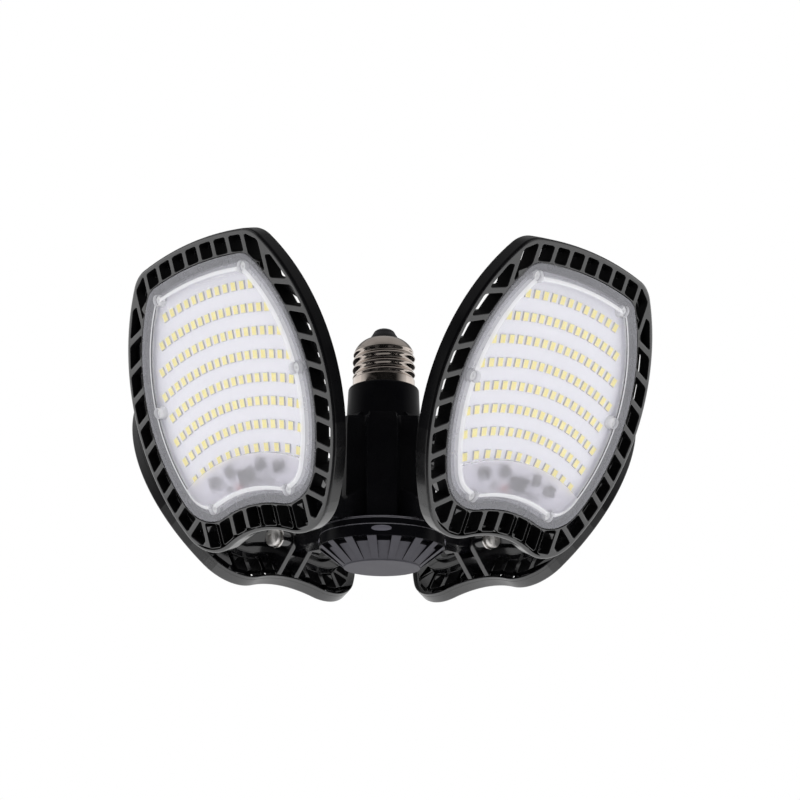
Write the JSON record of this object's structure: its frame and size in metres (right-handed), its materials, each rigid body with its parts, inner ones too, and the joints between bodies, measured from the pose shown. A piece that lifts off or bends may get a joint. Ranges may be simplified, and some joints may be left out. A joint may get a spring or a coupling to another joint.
{
  "type": "utility light",
  "caption": "Screw-base utility light with black hinged leaf panels that carry LED boards behind clear lenses.",
  "frame": {"origin": "lamp axis at the lower edge of the screw shell, where it meets the collar", "axes": "+Z along the screw base towards its tip, +X to the right and -Y towards the viewer"},
  "size_m": [0.2262, 0.222, 0.1167],
  "materials": {
    "nickel": "polished",
    "base_black": "satin",
    "solder": "satin",
    "hub_black": "gloss",
    "frame_black": "satin",
    "board_white": "matte",
    "lens_clear": "gloss",
    "led_yellow": "satin",
    "driver_dark": "satin",
    "screw_steel": "polished",
    "board_green": "satin",
    "lead_red": "satin",
    "lead_white": "satin"
  },
  "bodies": {
    "hub": {"screw_shell": "nickel", "base_insulator": "base_black", "centre_contact": "solder", "base_collar": "hub_black", "collar_screws": "screw_steel", "hub_body": "hub_black", "lower_ring": "hub_black", "ring_screws": "screw_steel", "bottom_cap": "hub_black", "terminal_board": "board_green", "terminal_screws": "screw_steel", "live_lead": "lead_red", "neutral_lead": "lead_white"},
    "front_left_leaf": {"front_left_frame": "frame_black", "front_left_board": "board_white", "front_left_lens": "lens_clear", "front_left_board_screws": "screw_steel", "front_left_leds": "led_yellow", "front_left_driver_parts": "driver_dark", "front_left_hinge_screw": "screw_steel", "front_left_flat_washer": "screw_steel", "front_left_spring_washer": "screw_steel", "front_left_hinge_nut": "screw_steel"},
    "front_right_leaf": {"front_right_frame": "frame_black", "front_right_board": "board_white", "front_right_lens": "lens_clear", "front_right_board_screws": "screw_steel", "front_right_leds": "led_yellow", "front_right_driver_parts": "driver_dark", "front_right_hinge_screw": "screw_steel", "front_right_flat_washer": "screw_steel", "front_right_spring_washer": "screw_steel", "front_right_hinge_nut": "screw_steel"},
    "back_left_leaf": {"back_left_frame": "frame_black", "back_left_board": "board_white", "back_left_lens": "lens_clear", "back_left_board_screws": "screw_steel", "back_left_leds": "led_yellow", "back_left_driver_parts": "driver_dark", "back_left_hinge_screw": "screw_steel", "back_left_flat_washer": "screw_steel", "back_left_spring_washer": "screw_steel", "back_left_hinge_nut": "screw_steel"},
    "back_right_leaf": {"back_right_frame": "frame_black", "back_right_board": "board_white", "back_right_lens": "lens_clear", "back_right_board_screws": "screw_steel", "back_right_leds": "led_yellow", "back_right_driver_parts": "driver_dark", "back_right_hinge_screw": "screw_steel", "back_right_flat_washer": "screw_steel", "back_right_spring_washer": "screw_steel", "back_right_hinge_nut": "screw_steel"}
  },
  "joints": [
    {"name": "front_left_tilt", "type": "hinge", "parent": "hub", "child": "front_left_leaf", "pos_m": [-0.03705, -0.03705, -0.0583], "axis": [0.7071, -0.7071, 0], "range_deg": [-20, 70]},
    {"name": "front_right_tilt", "type": "hinge", "parent": "hub", "child": "front_right_leaf", "pos_m": [0.03705, -0.03705, -0.0583], "axis": [0.7071, 0.7071, 0], "range_deg": [-25.9, 64.1]},
    {"name": "back_left_tilt", "type": "hinge", "parent": "hub", "child": "back_left_leaf", "pos_m": [-0.03705, 0.03705, -0.0583], "axis": [-0.7071, -0.7071, 0], "range_deg": [-31.5, 58.5]},
    {"name": "back_right_tilt", "type": "hinge", "parent": "hub", "child": "back_right_leaf", "pos_m": [0.03705, 0.03705, -0.0583], "axis": [-0.7071, 0.7071, 0], "range_deg": [-31.2, 58.8]}
  ]
}
